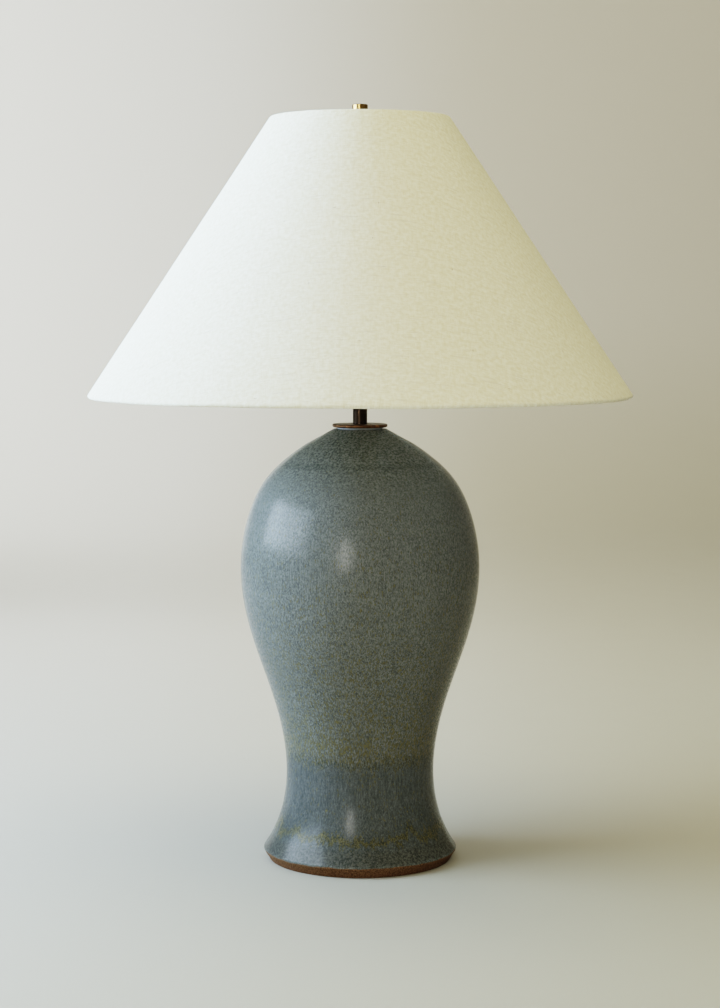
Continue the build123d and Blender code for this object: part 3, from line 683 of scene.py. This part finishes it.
paint = make_paint()
stage = make_stage(paint)
vase = nodes["ceramic_body"]
on_stage = make_group("on_stage", [stage], "INCLUDE")
on_vase = make_group("on_vase", [vase], "INCLUDE")
off_stage = make_group("off_stage", [stage], "EXCLUDE")
on_rest = make_group("on_rest", [stage, vase], "EXCLUDE")

# Lights on the lamp; those without a group reach the stage too
add_light(
    "window", place=(-1.45, 0.10, 0.95), target=(0, 0, 0.6), size=(0.85, 1.0), power=22.5,
    colour=(0.49, 0.715, 0.98), group=on_rest, spread=78, mirrored=False)
add_light(
    "vase_window", place=(-1.45, 0.10, 0.70), target=(0, 0, 0.33), size=(0.85, 0.8), power=7.1,
    colour=(0.52, 0.725, 0.92), group=on_vase, spread=50, mirrored=False)
add_light(
    "panes", place=(-1.45, -0.30, 1.45), target=(0, -0.30, 1.1), size=(1.5, 1.9), power=178,
    colour=(0.68, 0.83, 1.0), lights=False)
add_light(
    "ceiling", place=(0.3, -0.6, 3.1), target=(0.2, -0.3, 0.0), size=(3.0, 3.0), power=46,
    colour=(1.0, 0.91, 0.55), mirrored=False)
add_light(
    "fill", place=(2.6, -2.9, 1.0), target=(0, 0, 0.4), size=(2.6, 1.6), power=18.5,
    colour=(0.93, 0.99, 1.0), group=off_stage, mirrored=False)
add_light(
    "room", place=(-0.9, -2.6, 0.8), target=(0, 0, 0.35), size=(1.5, 1.0), power=23.5,
    colour=(0.97, 0.97, 0.80), group=off_stage, mirrored=False)
add_light(
    "far_pane", place=(-0.62, -2.42, 0.74), target=(0, 0, 0.3), size=(0.40, 0.80), power=20,
    colour=(1.0, 0.98, 0.92), lights=False)

# Lights on the stage alone
add_light(
    "floor_window", place=(-1.45, -0.35, 1.2), target=(0, -0.1, 0), size=(1.4, 1.4), power=44,
    colour=(0.60, 0.80, 1.0), group=on_stage)
add_light(
    "floor_fill", place=(0.5, 0.4, 3.0), target=(0.2, 0.3, 0), size=(3.0, 3.0), power=22,
    colour=(0.94, 0.97, 1.0), group=on_stage, shadow=False)
add_light(
    "floor_left", place=(-1.2, 1.5, 2.6), target=(-0.9, 1.5, 0.0), size=(0.8, 2.6), power=12,
    colour=(0.95, 0.98, 1.0), group=on_stage, spread=70)
add_light(
    "floor_back", place=(-0.9, 3.1, 2.4), target=(-0.4, 3.3, 0.0), size=(3.0, 1.2), power=20,
    colour=(1.0, 0.99, 0.97), group=on_stage)
add_light(
    "wall_left", place=(-1.6, 3.0, 2.0), target=(-1.0, 5.2, 1.2), size=(1.0, 1.6), power=84,
    colour=(0.94, 0.985, 1.0), group=on_stage)
add_light(
    "wall_right", place=(1.6, 3.6, 3.2), target=(0.2, 5.2, 2.4), size=(1.6, 1.0), power=20,
    colour=(1.0, 0.90, 0.64), group=on_stage)
add_light(
    "wall_near", place=(0.0, -1.6, 3.6), target=(0.0, -5.2, 0.8), size=(2.4, 1.6), power=45,
    colour=(1.0, 0.97, 0.90), group=on_stage)
add_light(
    "wall_side", place=(-1.6, 0.0, 3.6), target=(-5.2, 0.0, 0.8), size=(1.6, 2.4), power=40,
    colour=(1.0, 0.98, 0.94), group=on_stage)

# Warm light from all round
world = bpy.data.worlds.new("room")
world.use_nodes = True
backdrop = world.node_tree.nodes["Background"]
backdrop.inputs["Color"].default_value = rgb(1.0, 0.91, 0.50)
backdrop.inputs["Strength"].default_value = 0.25
scene.world = world

bpy.context.view_layer.update()
